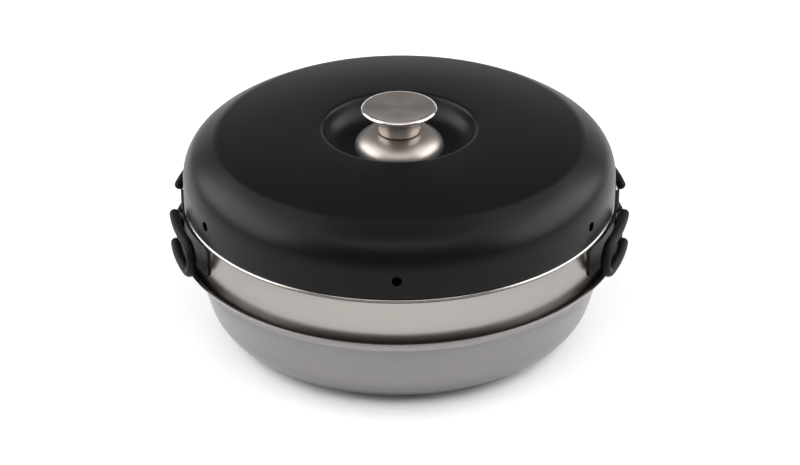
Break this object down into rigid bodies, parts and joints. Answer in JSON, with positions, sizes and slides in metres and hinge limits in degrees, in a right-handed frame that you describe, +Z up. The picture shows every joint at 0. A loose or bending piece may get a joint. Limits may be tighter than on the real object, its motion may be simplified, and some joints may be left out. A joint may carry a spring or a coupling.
{
  "type": "folding camp oven",
  "caption": "Stovetop ring oven: a flared base bowl, a ring pan with hinged folding wire handles, and a domed vented lid with a raised knob.",
  "frame": {"origin": "centre of the base bowl's foot, on the ground", "axes": "+Z up through the knob, -Y the front as in the picture, +X to the right, towards one pair of handles"},
  "size_m": [0.2862, 0.2778, 0.1457],
  "materials": {
    "base_steel": "brushed",
    "pan_steel": "brushed",
    "bracket_steel": "satin",
    "black_coating": "satin",
    "polished_steel": "polished",
    "satin_steel": "satin",
    "screw_steel": "plain",
    "wire_steel": "drawn wire",
    "grip_silicone": "matte",
    "seal_rubber": "matte"
  },
  "bodies": {
    "base": {"base_bowl": "base_steel"},
    "pan": {"ring_pan": "pan_steel", "chimney": "pan_steel", "left_bracket": "bracket_steel", "right_bracket": "bracket_steel"},
    "lid": {"lid_shell": "black_coating", "knob_dome": "polished_steel", "knob_seal": "seal_rubber", "knob_neck": "polished_steel", "knob_cap": "satin_steel", "knob_screw": "screw_steel", "lid_washer": "screw_steel", "lock_washer": "screw_steel"},
    "left_front_wing": {"left_front_wire": "wire_steel", "left_front_grip": "grip_silicone"},
    "left_rear_wing": {"left_rear_wire": "wire_steel", "left_rear_grip": "grip_silicone"},
    "right_front_wing": {"right_front_wire": "wire_steel", "right_front_grip": "grip_silicone"},
    "right_rear_wing": {"right_rear_wire": "wire_steel", "right_rear_grip": "grip_silicone"}
  },
  "joints": [
    {"name": "pan_lift", "type": "slide", "parent": "base", "child": "pan", "axis": [0, 0, 1], "range_m": [0, 0.09]},
    {"name": "lid_lift", "type": "slide", "parent": "pan", "child": "lid", "axis": [0, 0, 1], "range_m": [0, 0.08]},
    {"name": "left_front_hinge", "type": "hinge", "parent": "pan", "child": "left_front_wing", "pos_m": [-0.13677, -0.01922, 0.0708], "axis": [0, 0, -1], "range_deg": [0, 105]},
    {"name": "left_rear_hinge", "type": "hinge", "parent": "pan", "child": "left_rear_wing", "pos_m": [-0.13677, 0.01922, 0.0708], "axis": [0, 0, 1], "range_deg": [0, 105]},
    {"name": "right_front_hinge", "type": "hinge", "parent": "pan", "child": "right_front_wing", "pos_m": [0.13677, -0.01922, 0.0708], "axis": [0, 0, 1], "range_deg": [0, 105]},
    {"name": "right_rear_hinge", "type": "hinge", "parent": "pan", "child": "right_rear_wing", "pos_m": [0.13677, 0.01922, 0.0708], "axis": [0, 0, -1], "range_deg": [0, 105]}
  ]
}
